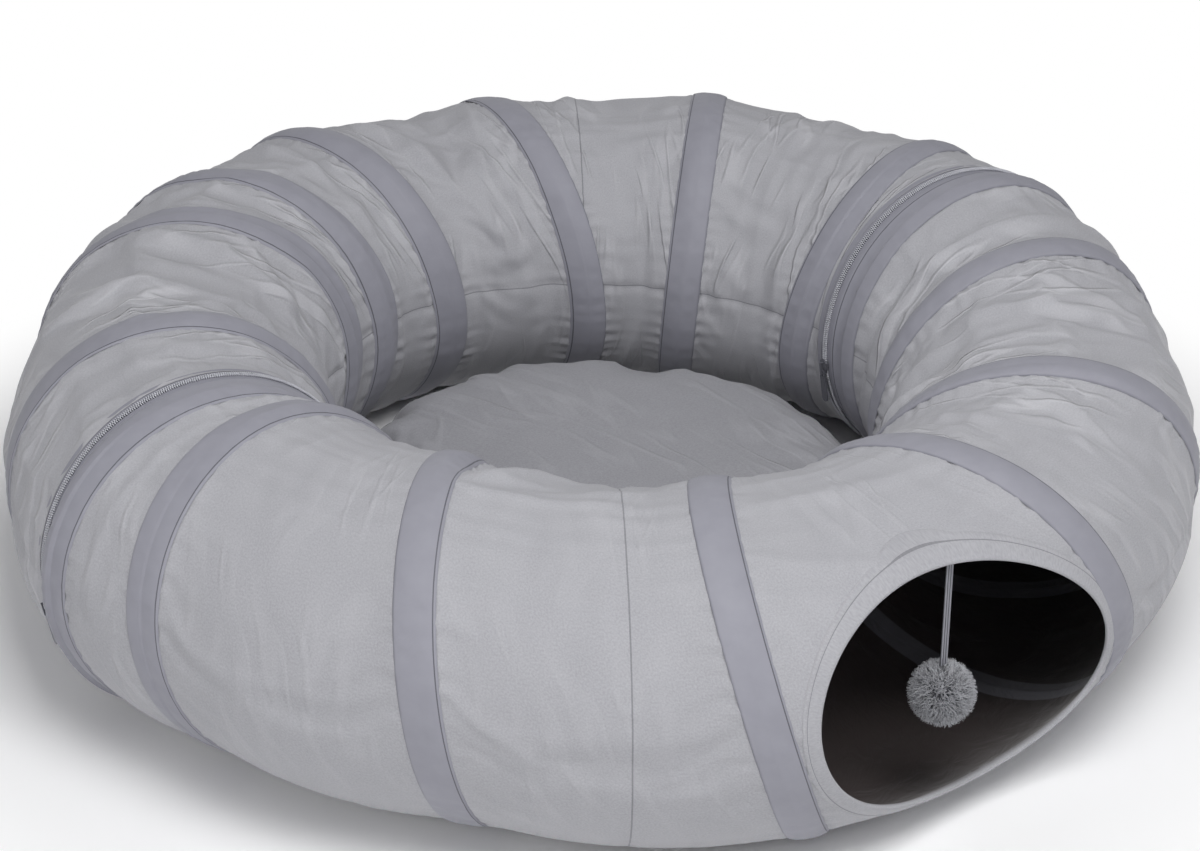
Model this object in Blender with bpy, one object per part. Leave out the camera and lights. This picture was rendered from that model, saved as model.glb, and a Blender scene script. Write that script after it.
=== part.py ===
"""Round cat tunnel: two half tunnels of fabric on spring wire hoops, zipped end to end round a cushion.

The ring stands on the floor round the Z axis. The two zips lie on the X axis, the doorway faces -Y,
and the rear half tunnel comes away towards +Y. Lengths are in metres and angles in degrees.
"""
import math

import bpy
import bmesh
from mathutils import Matrix, Vector
from mathutils.bvhtree import BVHTree

# Ring and tube
ring_radius = 0.357
hoop_radius = 0.1315
wire_radius = 0.0015
cover_thickness = 0.0012
lining_thickness = 0.0008
band_thickness = 0.001
band_width = 0.032
sewing_gap = 0.0003
band_edge_gap = 0.0012
lining_gap = 0.0006
panel_draw = 0.004
panel_swell = 0.006
swell_angle = -20
sides_round = 20
wire_sides = 4
cut_overrun = 0.05

# Hoops of each half tunnel in turn: azimuth, turn about the vertical, and lean of the top
front_hoop_angles = (
    (195.5, -2, 8.5), (222, 5.5, 9), (256, -15, 16.5), (287, 8, 18), (310.5, 17, 17), (337, 14, 6),
)
front_reach_shares = (0.965, 0.97, 1.035, 1.0, 0.985, 0.97)
rear_hoop_angles = (
    (13, 5, 9.5), (44, 8, 5), (70, 15, -6), (97.5, 9.5, -6.5), (117, 12, 0), (132.6, 17, 5), (163.5, 1.5, 1),
)
rear_reach_shares = (1.0, 0.97, 0.965, 1.015, 1.0, 0.985, 0.97)
widest_fabric_step = 12.9

# Doorway in the front half tunnel
door_azimuth = 271
door_tilt = -10
door_half_width = 0.135
door_top_margin = 0.0448
door_bottom_margin = 0.034
door_facing_width = 0.01
door_sides = 32

# Zips
mouth_hoop_inset = 0.024
chain_gap = 0.0005
front_tape_width = 0.0077
rear_tape_width = 0.012
tape_thickness = 0.0006
tooth_bead_width = 0.0022
tooth_bead_height = 0.0026
zip_step = 9
zip_end_angle = 81
slider_length = 0.013
slider_width = 0.0092
slider_plate = 0.0014
slider_web = 0.0004
slider_clearance = 0.0007
slider_nose_share = 0.6
slider_taper_share = 0.45
bridge_width = 0.0015
bridge_bar = 0.0012
bridge_room = 0.0022
puller_bar_radius = 0.0007
puller_arm_gap = 0.0004
puller_arm_width = 0.0013
puller_arm_length = 0.007
puller_length = 0.024
puller_width = 0.0075
puller_thickness = 0.0015
puller_rim = 0.0011
puller_recess = 0.0004
left_slider_angle = -10
right_slider_angle = 188

# Hanging toy
strap_length = 0.084
strap_width = 0.0065
strap_thickness = 0.001
strap_seam_gap = 0.00096
pompom_gap = 0.0005
pompom_radius = 0.0255
pompom_segments = 14
pompom_rings = 9

# Cushion in the middle
mat_clearance = 0.013
mat_height = 0.085
mat_segments = 40
mat_puckers = 20
mat_pucker_depth = 0.0012
mat_radius = ring_radius - hoop_radius - mat_clearance
mat_profile_shares = (
    (0.0, 0.0), (0.6, 0.0), (0.9, 0.0), (0.965, 0.08), (0.995, 0.24), (0.985, 0.37), (1.0, 0.5),
    (0.985, 0.65), (0.93, 0.79), (0.82, 0.89), (0.62, 0.96), (0.34, 0.99), (0.0, 1.0),
)

# Layers of the tube wall, as distances outside the wire's centreline
lining_outer = -wire_radius - lining_gap
cover_inner = -wire_radius
cover_outer = cover_inner + cover_thickness
band_edge_inner = cover_outer + band_edge_gap
band_ridge_inner = wire_radius + sewing_gap
band_ridge_outer = band_ridge_inner + band_thickness
hoop_margin = wire_radius * 2

ring_angles = [2 * math.pi * (i + 1 / 2) / sides_round for i in range(sides_round)]
resting_height = (hoop_radius + band_ridge_outer) * math.cos(math.pi / sides_round)
door_top = 2 * resting_height - door_top_margin
door_half_height = (door_top - door_bottom_margin) / 2
door_centre_height = door_bottom_margin + door_half_height


for left_over in list(bpy.data.objects):
    bpy.data.objects.remove(left_over, do_unlink=True)


def make_material(name, colour, roughness, metallic=0.0):
    material = bpy.data.materials.new(name)
    material.use_nodes = True
    shader = material.node_tree.nodes["Principled BSDF"]
    shader.inputs["Base Color"].default_value = (*colour, 1.0)
    shader.inputs["Roughness"].default_value = roughness
    shader.inputs["Metallic"].default_value = metallic
    return material


suede = make_material("light grey suede cloth", (0.41, 0.41, 0.43), 0.95)
casing = make_material("blue grey casing tape", (0.24, 0.24, 0.27), 0.8)
lining_cloth = make_material("dark lining cloth", (0.02, 0.017, 0.018), 0.85)
spring_steel = make_material("spring steel wire", (0.35, 0.35, 0.36), 0.35, 1.0)
zip_tape = make_material("zip tape", (0.2, 0.2, 0.22), 0.8)
zip_metal = make_material("grey painted zip metal", (0.3, 0.3, 0.32), 0.35, 1.0)
elastic = make_material("ribbed elastic", (0.17, 0.17, 0.19), 0.8)
plush = make_material("grey plush", (0.32, 0.32, 0.34), 1.0)


def add_object(name, form, material, smooth_angle=40.0):
    """Turns a bmesh into an object with its faces pointing out."""
    bmesh.ops.recalc_face_normals(form, faces=form.faces)
    if form.calc_volume(signed=True) < 0:
        bmesh.ops.reverse_faces(form, faces=form.faces)
    mesh = bpy.data.meshes.new(name)
    form.to_mesh(mesh)
    form.free()
    mesh.materials.append(material)
    mesh.shade_smooth()
    mesh.set_sharp_from_angle(angle=math.radians(smooth_angle))
    made = bpy.data.objects.new(name, mesh)
    bpy.context.scene.collection.objects.link(made)
    return made


def skin(form, row, other):
    """Joins two rings of vertices with triangles, always split the same way so that layers stay parallel."""
    for i in range(len(row)):
        j = (i + 1) % len(row)
        form.faces.new((row[i], row[j], other[j]))
        form.faces.new((row[i], other[j], other[i]))


def vertex_rows(form, rings):
    return [[form.verts.new(point) for point in ring] for ring in rings]


def form_of_rings(rings, closed_along=False):
    """A solid skinned over rings of points, either capped at both ends or joined from the last to the first."""
    form = bmesh.new()
    rows = vertex_rows(form, rings)
    for row, other in zip(rows, rows[1:]):
        skin(form, row, other)
    if closed_along:
        skin(form, rows[-1], rows[0])
    else:
        form.faces.new(rows[0])
        form.faces.new(rows[-1])
    return form


def sleeve(outer_rings, inner_rings):
    """Cloth of one thickness: an outer and an inner skin, joined at both open ends."""
    form = bmesh.new()
    outer, inner = vertex_rows(form, outer_rings), vertex_rows(form, inner_rings)
    for rows in (outer, inner):
        for row, other in zip(rows, rows[1:]):
            skin(form, row, other)
    for i in (0, -1):
        skin(form, outer[i], inner[i])
    return form


class Hoop:
    """One circle of the tube: its centre, the way out from the ring's axis, and the way up, tilted."""

    def __init__(self, centre, out, up):
        self.centre, self.out, self.up = centre, out, up

    def point(self, angle, rise):
        way = self.out * math.cos(angle) + self.up * math.sin(angle)
        return self.centre + way * (hoop_radius + rise)


def tilted_hoop(angles, reach_share):
    azimuth, turn, lean = (math.radians(angle) for angle in angles)
    outward = Vector((math.cos(azimuth), math.sin(azimuth), 0))
    along = Vector((-math.sin(azimuth), math.cos(azimuth), 0))
    out = outward * math.cos(turn) + along * math.sin(turn)
    up = Vector((0, 0, math.cos(lean))) + out.cross(Vector((0, 0, 1))) * math.sin(lean)
    centre = outward * ring_radius * reach_share
    centre.z = resting_height * math.cos(lean)
    return Hoop(centre, out, up)


def mouth_hoop(side, inset):
    """A circle square to the Y axis, which both half tunnels share at each zip."""
    centre = Vector((side * ring_radius, inset, resting_height))
    return Hoop(centre, Vector((side, 0, 0)), Vector((0, 0, 1)))


def between(first, second, angle, rise, share):
    """A point on the way from one hoop to the next, carried round the ring's axis."""
    start, end = first.point(angle, rise), second.point(angle, rise)
    turn = math.atan2(start.x * end.y - start.y * end.x, start.x * end.x + start.y * end.y)
    radius = (1 - share) * math.hypot(start.x, start.y) + share * math.hypot(end.x, end.y)
    azimuth = math.atan2(start.y, start.x) + share * turn
    height = (1 - share) * start.z + share * end.z
    return Vector((radius * math.cos(azimuth), radius * math.sin(azimuth), height))


def span_at(first, second, angle):
    start, end = first.point(angle, 0), second.point(angle, 0)
    turn = math.atan2(start.x * end.y - start.y * end.x, start.x * end.x + start.y * end.y)
    return abs(turn) * (math.hypot(start.x, start.y) + math.hypot(end.x, end.y)) / 2


def steps_of(first, second):
    turn = math.degrees(first.centre.xy.angle(second.centre.xy))
    return max(1, math.ceil(turn / widest_fabric_step))


def cloth_point(first, second, angle, rise, share, slack=1):
    """The cloth hangs outwards and down between hoops, is drawn in at the top and on the inner wall,
    and lies flat where it meets the floor."""
    wave = math.cos(angle - math.radians(swell_angle)) * slack
    point = between(first, second, angle, rise + wave * (panel_swell if wave > 0 else panel_draw), share)
    point.z = max(point.z, cover_outer - rise)
    return point


def ring_at(first, second, rise, share):
    return [cloth_point(first, second, angle, rise, share) for angle in ring_angles]


def ring_near(first, second, rise, distance):
    """A ring at a set distance from the first hoop, on the straight stretch of cloth that leaves it."""
    ring, count = [], steps_of(first, second)
    for angle in ring_angles:
        span = span_at(first, second, angle)
        start = cloth_point(first, second, angle, rise, min(distance, hoop_margin) / span, slack=0)
        end = cloth_point(first, second, angle, rise, 1 / count, slack=1 if count > 1 else 0)
        ring.append(start.lerp(end, max(0, distance - hoop_margin) / (span / count - hoop_margin)))
    return ring


def panel_rings(first, second, rise, margins):
    count = steps_of(first, second)
    rings = [ring_near(first, second, rise, margins[0])]
    rings += [ring_at(first, second, rise, i / count) for i in range(1, count)]
    rings.append(ring_near(second, first, rise, margins[1]))
    return rings


def add_panel(name, first, second, margins=(hoop_margin, hoop_margin)):
    """A length of cover cloth between two hoops, a closed sleeve of one thickness."""
    outer = panel_rings(first, second, cover_outer, margins)
    inner = panel_rings(first, second, cover_inner, margins)
    return add_object(name, sleeve(outer, inner), suede)


def add_band(name, before, hoop, after, margins=(band_width / 2, band_width / 2)):
    """A casing tape over one hoop, with a ridge where it passes over the wire."""
    layers = []
    for ridge, edge in (
        (band_ridge_outer, band_edge_inner + band_thickness),
        (band_ridge_inner, band_edge_inner),
    ):
        layers.append([
            ring_near(hoop, before, edge, margins[0]),
            [hoop.point(angle, ridge) for angle in ring_angles],
            ring_near(hoop, after, edge, margins[1]),
        ])
    return add_object(name, sleeve(*layers), casing)


def add_wire(name, hoop):
    normal = hoop.out.cross(hoop.up)
    rings = []
    for angle in ring_angles:
        way = hoop.out * math.cos(angle) + hoop.up * math.sin(angle)
        middle = hoop.centre + way * hoop_radius
        section = [2 * math.pi * i / wire_sides for i in range(wire_sides)]
        rings.append([
            middle + (way * math.cos(turn) + normal * math.sin(turn)) * wire_radius for turn in section
        ])
    return add_object(name, form_of_rings(rings, closed_along=True), spring_steel, 80)


def add_lining(name, hoops):
    """One dark sleeve inside a half tunnel, parallel to the cover. It lies against each hoop."""
    layers = []
    for rise in (lining_outer, lining_outer - lining_thickness):
        rings = []
        for first, second in zip(hoops, hoops[1:]):
            rings += panel_rings(first, second, rise, (0, 0))[:-1]
        layers.append([*rings, [hoops[-1].point(angle, rise) for angle in ring_angles]])
    return add_object(name, sleeve(*layers), lining_cloth)


def use_boolean(target, cutter, operation):
    step = target.modifiers.new(operation.lower(), "BOOLEAN")
    step.operation = operation
    step.object = cutter
    cutter.hide_render = True
    cutter.display_type = "WIRE"


door_outward = Vector((math.cos(math.radians(door_azimuth)), math.sin(math.radians(door_azimuth)), 0))
door_across = Vector((-door_outward.y, door_outward.x, 0))


def door_loop(extra, distance):
    """A leaning ellipse round the doorway, at a distance from the ring's axis."""
    loop = []
    lean = Matrix.Rotation(math.radians(door_tilt), 2)
    for i in range(door_sides):
        turn = 2 * math.pi * i / door_sides
        level = Vector(((door_half_width + extra) * math.cos(turn), (door_half_height + extra) * math.sin(turn)))
        across, height = lean @ level
        point = door_outward * distance + door_across * across
        point.z = door_centre_height + height
        loop.append(point)
    return loop


door_near = ring_radius
door_far = ring_radius + hoop_radius + cut_overrun


def add_door_cutter(name, extra):
    rings = [door_loop(extra, door_near), door_loop(extra, door_far)]
    return add_object(name, form_of_rings(rings), suede)


def add_facing_cutter(name):
    """A tube of elliptical section, which leaves only the strip of cloth round the doorway."""
    rings = [
        door_loop(door_facing_width, door_near), door_loop(door_facing_width, door_far),
        door_loop(0, door_far), door_loop(0, door_near),
    ]
    return add_object(name, form_of_rings(rings, closed_along=True), suede)


# Front half tunnel
left_mouth_front = mouth_hoop(-1, -mouth_hoop_inset)
right_mouth_front = mouth_hoop(1, -mouth_hoop_inset)
front_hoops = [left_mouth_front, *map(tilted_hoop, front_hoop_angles, front_reach_shares), right_mouth_front]
front_edge = front_tape_width + sewing_gap
left_front_edge, right_front_edge = mouth_hoop(-1, -front_edge), mouth_hoop(1, -front_edge)
front_run = [left_front_edge, *front_hoops, right_front_edge]

front_panels = [
    add_panel(f"front_panel_{i + 1}", first, second)
    for i, (first, second) in enumerate(zip(front_hoops, front_hoops[1:]))
]
mouth_margin = mouth_hoop_inset - front_edge
for i, hoop in enumerate(front_hoops):
    margins = (
        mouth_margin if i == 0 else band_width / 2,
        mouth_margin if i == len(front_hoops) - 1 else band_width / 2,
    )
    add_band(f"front_band_{i + 1}", front_run[i], hoop, front_run[i + 2], margins)
    add_wire(f"front_hoop_{i + 1}", hoop)
front_lining = add_lining("front_lining", front_run)

# Doorway: the panel and the lining are cut, and a facing of the same cloth finishes the panel's edge
door_panel_index = 3
door_panel = front_panels[door_panel_index]
door_facing = add_panel("door_facing", *front_hoops[door_panel_index:door_panel_index + 2])
panel_points = [vertex.co.copy() for vertex in door_facing.data.vertices]
panel_faces = [tuple(face.vertices) for face in door_facing.data.polygons]
use_boolean(door_panel, add_door_cutter("panel_cutter", door_facing_width + sewing_gap), "DIFFERENCE")
use_boolean(front_lining, add_door_cutter("lining_cutter", sewing_gap), "DIFFERENCE")
use_boolean(door_facing, add_facing_cutter("facing_cutter"), "INTERSECT")

# Rear half tunnel
rear_edge = rear_tape_width + sewing_gap
right_rear_edge, left_rear_edge = mouth_hoop(1, rear_edge), mouth_hoop(-1, rear_edge)
rear_hoops = list(map(tilted_hoop, rear_hoop_angles, rear_reach_shares))
rear_run = [right_rear_edge, *rear_hoops, left_rear_edge]
for i, (first, second) in enumerate(zip(rear_run, rear_run[1:])):
    margins = (0 if i == 0 else hoop_margin, 0 if i == len(rear_run) - 2 else hoop_margin)
    add_panel(f"rear_panel_{i + 1}", first, second, margins)
for i, hoop in enumerate(rear_hoops):
    add_band(f"rear_band_{i + 1}", rear_run[i], hoop, rear_run[i + 2])
    add_wire(f"rear_hoop_{i + 1}", hoop)
add_lining("rear_lining", rear_run)


# Zips: a tape with its row of teeth on each half, and a slider with a puller
tape_top = cover_inner + tape_thickness
bead_top = (cover_inner + tape_top + tooth_bead_height) / 2
bead_bottom = bead_top - tooth_bead_height


def add_tape(name, side, towards, width):
    """Half a zip: the section of tape and teeth, turned round the tube from one end stop to the other."""
    section = (
        (chain_gap, bead_top), (chain_gap + tooth_bead_width, bead_top),
        (chain_gap + tooth_bead_width, tape_top), (width, tape_top),
        (width, cover_inner), (chain_gap + tooth_bead_width, cover_inner),
        (chain_gap + tooth_bead_width, bead_bottom), (chain_gap, bead_bottom),
    )
    plain_circle = mouth_hoop(side, 0)
    steps = round((180 + 2 * zip_end_angle) / zip_step)
    rings = []
    for i in range(steps + 1):
        angle = math.radians(-zip_end_angle + i * (180 + 2 * zip_end_angle) / steps)
        rings.append([
            plain_circle.point(angle, rise) + Vector((0, towards * across, 0)) for across, rise in section
        ])
    return add_object(name, form_of_rings(rings), zip_tape)


def box_form(low, high):
    form = bmesh.new()
    bmesh.ops.create_cube(form, size=1)
    size = Vector(high) - Vector(low)
    middle = (Vector(high) + Vector(low)) / 2
    bmesh.ops.transform(form, matrix=Matrix.Translation(middle) @ Matrix.Diagonal((*size, 1)), verts=form.verts)
    return form


def plate_form(outline, low, high):
    """A flat plate with a given outline, between two heights."""
    return form_of_rings([[Vector((x, y, low)) for x, y in outline], [Vector((x, y, high)) for x, y in outline]])


def add_union(name, forms, material, place):
    """Joins overlapping forms into one body and sets it in its place on the zip."""
    first, *others = forms
    whole = add_object(name, first, material)
    for i, form in enumerate(others):
        use_boolean(whole, add_object(f"{name}_form_{i + 1}", form, material), "UNION")
    whole.matrix_world = place
    for step in whole.modifiers:
        step.object.matrix_world = place
    return whole


def place_on_zip(side, angle):
    """X runs up the zip, away from where the puller hangs, Y across it, and Z out of the tube."""
    circle = mouth_hoop(side, 0)
    angle = math.radians(angle)
    out = circle.out * math.cos(angle) + circle.up * math.sin(angle)
    across = Vector((0, 1, 0))
    up = across.cross(out)
    matrix = Matrix((up, across, out)).transposed().to_4x4()
    matrix.translation = circle.centre + out * hoop_radius
    return matrix


plate_low = bead_top + slider_clearance
plate_high = plate_low + slider_plate
under_high = bead_bottom - slider_clearance
under_low = under_high - slider_plate
bar_height = plate_high + bridge_room / 2
hinge_x = -slider_length / 2 + bridge_width + puller_bar_radius + puller_arm_gap


def slider_outline():
    """Blunt at the top where the two rows of teeth come in, and drawn in towards the hanging end."""
    half, end = slider_width / 2, slider_length / 2
    nose, taper = half * slider_nose_share, end - slider_length * slider_taper_share
    bevel = half / 2
    right = [(-end, -nose), (-taper, -half), (end - bevel, -half), (end, -bevel)]
    return right + [(x, -y) for x, y in reversed(right)]


def slider_flanges():
    """The lips beside the front row of teeth. The rear row has none, so that the rear tape leaves sideways."""
    half, end = slider_width / 2, slider_length / 2
    taper = end - slider_length * slider_taper_share
    inner = chain_gap + tooth_bead_width + slider_clearance / 2
    seat = slider_plate / 2
    heights = (
        (tape_top + slider_clearance, plate_low + seat),
        (under_high - seat, cover_inner - slider_clearance),
    )
    return [box_form((-taper, -half, low), (end - half / 2, -inner, high)) for low, high in heights]


def add_slider(name, side, angle):
    """Two plates on a thin web between the rows of teeth, with a bridge on top that holds the puller."""
    end, web, side_half = slider_length / 2, slider_web / 2, bridge_width / 2
    seat = slider_plate / 2
    bridge_high = plate_high + bridge_room
    bar_high = bridge_high + bridge_bar
    forms = [
        plate_form(slider_outline(), plate_low, plate_high),
        plate_form(slider_outline(), under_low, under_high),
        box_form((0, -web, under_high - seat), (end / 2, web, plate_low + seat)),
        *slider_flanges(),
        box_form((-end, -side_half, plate_high - seat), (-end + bridge_width, side_half, bar_high)),
        box_form((end / 2, -side_half, plate_high - seat), (end / 2 + bridge_width, side_half, bar_high)),
        box_form((-end + seat, -side_half, bridge_high), (end / 2 + seat, side_half, bar_high)),
    ]
    return add_union(name, forms, zip_metal, place_on_zip(side, angle))


def puller_outline():
    """A long tongue with a half round end, from the arms down to its tip."""
    half = puller_width / 2
    start = -puller_arm_length + puller_arm_width
    round_centre = -puller_arm_length - puller_length + half
    points = [(start, -half), (start, half)]
    for i in range(9):
        turn = math.pi / 2 + math.pi * i / 8
        points.append((round_centre + half * math.cos(turn), half * math.sin(turn)))
    return points


def tongue_form():
    form = plate_form(puller_outline(), -puller_thickness / 2, puller_thickness / 2)
    for way in (1, -1):
        bmesh.ops.recalc_face_normals(form, faces=form.faces)
        face = next(f for f in form.faces if len(f.verts) > 4 and f.normal.z * way > 1 / 2)
        bmesh.ops.inset_region(form, faces=[face], thickness=puller_rim)
        bmesh.ops.translate(form, vec=Vector((0, 0, -way * puller_recess)), verts=face.verts)
    return form


def add_puller(name, side, angle):
    """A recessed tongue on two arms, which turn on a round bar under the slider's bridge."""
    inner = bridge_width / 2 + puller_arm_gap
    outer = inner + puller_arm_width
    bar = bmesh.new()
    turn = Matrix.Rotation(math.pi / 2, 4, "X")
    bmesh.ops.create_cone(
        bar, cap_ends=True, segments=12, radius1=puller_bar_radius, radius2=puller_bar_radius,
        depth=2 * outer, matrix=turn,
    )
    reach = -puller_arm_length - puller_rim / 2
    forms = [tongue_form(), bar]
    for way in (1, -1):
        low, high = sorted((way * inner, way * outer))
        forms.append(box_form((reach, low, -puller_bar_radius), (0, high, puller_bar_radius)))
    place = place_on_zip(side, angle) @ Matrix.Translation((hinge_x, 0, bar_height))
    return add_union(name, forms, zip_metal, place)


for side_name, side, slider_angle in (("left", -1, left_slider_angle), ("right", 1, right_slider_angle)):
    add_tape(f"{side_name}_zip_front_tape", side, -1, front_tape_width)
    add_tape(f"{side_name}_zip_rear_tape", side, 1, rear_tape_width)
    add_slider(f"{side_name}_zip_slider", side, slider_angle)
    add_puller(f"{side_name}_zip_puller", side, slider_angle)


# Toy: an elastic strap sewn to the top of the doorway, with a pompom on its end
def wall_at(height):
    """The distance of the doorway panel from the ring's axis at a height over the middle of the door."""
    tree = BVHTree.FromPolygons(panel_points, panel_faces)
    start = door_outward * door_far + Vector((0, 0, height))
    return tree.ray_cast(start, -door_outward)[0].xy.length


door_tilt_turn = math.radians(door_tilt)
door_reach_up = 1 / math.hypot(
    math.sin(door_tilt_turn) / door_half_width, math.cos(door_tilt_turn) / door_half_height
)
door_edge_height = door_centre_height + door_reach_up
strap_distance = wall_at(door_edge_height) - cover_thickness
strap_top = door_edge_height - strap_seam_gap
strap_bottom = strap_top - strap_length
strap_place = Matrix((door_across, -door_outward, Vector((0, 0, 1)))).transposed().to_4x4()
strap_place.translation = door_outward * strap_distance + Vector((0, 0, strap_top))
strap = add_object(
    "toy_strap",
    box_form(
        (-strap_width / 2, -strap_thickness / 2, -strap_length),
        (strap_width / 2, strap_thickness / 2, 0),
    ),
    elastic,
)
strap.matrix_world = strap_place

ball = bmesh.new()
bmesh.ops.create_uvsphere(ball, u_segments=pompom_segments, v_segments=pompom_rings, radius=pompom_radius)
pompom = add_object("toy_pompom", ball, plush)
pompom.location = door_outward * strap_distance
pompom.location.z = strap_bottom - pompom_gap - pompom_radius


# Cushion: a round crowned form, drawn in at its edge seams and puckered all round
def mat_ring(radius_share, height_share):
    ring = []
    for i in range(mat_segments):
        turn = 2 * math.pi * i / mat_segments
        pucker = mat_pucker_depth * radius_share * (math.cos(mat_puckers * turn) - 1) / 2
        radius = mat_radius * radius_share + pucker
        ring.append(Vector((radius * math.cos(turn), radius * math.sin(turn), mat_height * height_share)))
    return ring


mat_form = form_of_rings([mat_ring(*shares) for shares in mat_profile_shares[1:-1]])
lid = next(face for face in mat_form.faces if len(face.verts) > 4 and face.calc_center_median().z > mat_height / 2)
crown = bmesh.ops.poke(mat_form, faces=[lid])["verts"][0]
crown.co.z = mat_height
add_object("mat", mat_form, suede)
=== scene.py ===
import math

import bmesh
import bpy
import numpy as np
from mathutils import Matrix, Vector
from mathutils.bvhtree import BVHTree


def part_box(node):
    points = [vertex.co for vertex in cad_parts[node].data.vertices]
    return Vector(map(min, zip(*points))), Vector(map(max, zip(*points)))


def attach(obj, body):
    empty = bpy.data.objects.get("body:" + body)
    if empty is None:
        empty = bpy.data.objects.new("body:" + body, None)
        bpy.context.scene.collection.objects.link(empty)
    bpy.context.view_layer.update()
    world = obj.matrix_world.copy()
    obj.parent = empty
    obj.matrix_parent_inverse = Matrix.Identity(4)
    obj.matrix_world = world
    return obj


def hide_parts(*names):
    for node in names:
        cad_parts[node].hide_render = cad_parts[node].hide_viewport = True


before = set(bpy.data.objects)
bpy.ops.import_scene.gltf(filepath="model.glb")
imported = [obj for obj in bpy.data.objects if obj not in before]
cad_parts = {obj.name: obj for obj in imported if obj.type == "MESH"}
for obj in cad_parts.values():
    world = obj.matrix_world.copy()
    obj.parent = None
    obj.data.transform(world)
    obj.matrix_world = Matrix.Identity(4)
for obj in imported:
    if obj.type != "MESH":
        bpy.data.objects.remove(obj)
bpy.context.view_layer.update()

# The camera looks down on the ring at 29 degrees from the left of its doorway, with a long lens.
# The frame's middle lies a little under the tube's mid height.
camera_data = bpy.data.cameras.new("camera")
camera_data.lens, camera_data.sensor_width = 90, 36
camera_data.shift_x, camera_data.shift_y = -0.0009, -0.0048
camera_data.clip_start, camera_data.clip_end = 0.1, 60
camera = bpy.data.objects.new("camera", camera_data)
bpy.context.scene.collection.objects.link(camera)
camera_turn, camera_rise = math.radians(-32), math.radians(28.65)
camera_distance = 2.46
camera_aim = Vector((0, 0, 0.127))
camera.location = camera_aim + camera_distance * Vector((
    math.sin(camera_turn) * math.cos(camera_rise),
    -math.cos(camera_turn) * math.cos(camera_rise),
    math.sin(camera_rise),
))
camera.rotation_euler = (math.pi / 2 - camera_rise, 0, camera_turn)
bpy.context.scene.camera = camera
bpy.context.scene.view_settings.view_transform = "Standard"


# The studio: a pale floor under four broad soft lamps, the strongest overhead, a weaker one on the left and
# two weak ones on the right and behind. They light the cloth evenly, so that its folds show as soft shades.
def linear(hex_colour):
    """An sRGB hex colour as the linear red, green, blue and alpha that Blender's sockets hold."""
    shades = [int(hex_colour[i:i + 2], 16) / 255 for i in (0, 2, 4)]
    return [s / 12.92 if s <= 0.04045 else ((s + 0.055) / 1.055) ** 2.4 for s in shades] + [1.0]


def node(tree, kind, values=None, **settings):
    """Adds a node with its settings. A value that is a socket of another node is linked, any other is set."""
    made = tree.nodes.new(kind)
    for name, setting in settings.items():
        setattr(made, name, setting)
    for socket, value in (values or {}).items():
        if isinstance(value, bpy.types.NodeSocket):
            tree.links.new(value, made.inputs[socket])
        else:
            made.inputs[socket].default_value = value
    return made


def new_material(name, values):
    """A material with its node tree and its shader, on which the values are set."""
    made = bpy.data.materials.new(name)
    made.use_nodes = True
    shader = made.node_tree.nodes["Principled BSDF"]
    for socket, value in values.items():
        shader.inputs[socket].default_value = value
    return made, made.node_tree, shader


def maths(tree, operation, *values, **settings):
    return node(tree, "ShaderNodeMath", dict(enumerate(values)), operation=operation, **settings).outputs[0]


def graded(tree, value, low, high, start=0.0, end=1.0, **settings):
    """Runs from start to end while the value runs from low to high."""
    values = {"Value": value, "From Min": low, "From Max": high, "To Min": start, "To Max": end}
    return node(tree, "ShaderNodeMapRange", values, **settings).outputs[0]


bpy.ops.object.select_all(action="DESELECT")
bpy.ops.mesh.primitive_plane_add(size=14)
floor = bpy.context.object
floor.name = "studio_floor"
floor_paint, tree, shader = new_material("matt pale studio floor", {
    "Base Color": linear("FFFFFF"), "Roughness": 0.9,
})
# Away from the ring the floor is seen as bright as the studio's white backdrop.
floor_place = node(tree, "ShaderNodeTexCoord").outputs["Object"]
floor_reach = node(tree, "ShaderNodeVectorMath", {0: floor_place}, operation="LENGTH").outputs["Value"]
floor_fade = graded(tree, floor_reach, 0.5, 0.72, interpolation_type="SMOOTHSTEP")
floor_share = maths(tree, "MULTIPLY", floor_fade, node(tree, "ShaderNodeLightPath").outputs["Is Camera Ray"])
backdrop = node(tree, "ShaderNodeEmission", {"Color": linear("FFFFFF"), "Strength": 1.0})
floor_sides = {0: floor_share, 1: shader.outputs[0], 2: backdrop.outputs[0]}
floor_mixed = node(tree, "ShaderNodeMixShader", floor_sides)
tree.links.new(floor_mixed.outputs[0], tree.nodes["Material Output"].inputs["Surface"])
floor.data.materials.append(floor_paint)

world = bpy.data.worlds.new("studio light")
world.use_nodes = True
bpy.context.scene.world = world
tree = world.node_tree
camera_ray = node(tree, "ShaderNodeLightPath").outputs["Is Camera Ray"]
seen = node(tree, "ShaderNodeBackground", {"Color": linear("FFFFFF"), "Strength": 1.0})
lighting = node(tree, "ShaderNodeBackground", {"Color": linear("F4F4F8"), "Strength": 0.29})
mixed = node(tree, "ShaderNodeMixShader", {0: camera_ray, 1: lighting.outputs[0], 2: seen.outputs[0]})
tree.links.new(mixed.outputs[0], tree.nodes["World Output"].inputs["Surface"])

lamp_aim = Vector((0, 0, 0.1))
for lamp_name, watts, size, spot in (
    ("overhead softbox", 30, 1.1, (-0.25, -1.1, 2.0)),
    ("left softbox", 13, 1.1, (-2.3, -1.0, 1.1)),
    ("right softbox", 6, 1.3, (1.7, -2.0, 1.1)),
    ("rear softbox", 6, 1.5, (1.2, 2.6, 0.9)),
):
    bpy.ops.object.light_add(type="AREA", location=spot)
    lamp = bpy.context.object
    lamp.name = lamp_name
    lamp.data.energy, lamp.data.size = watts, size
    lamp.rotation_euler = (lamp_aim - Vector(spot)).to_track_quat("-Z", "Y").to_euler()


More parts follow.
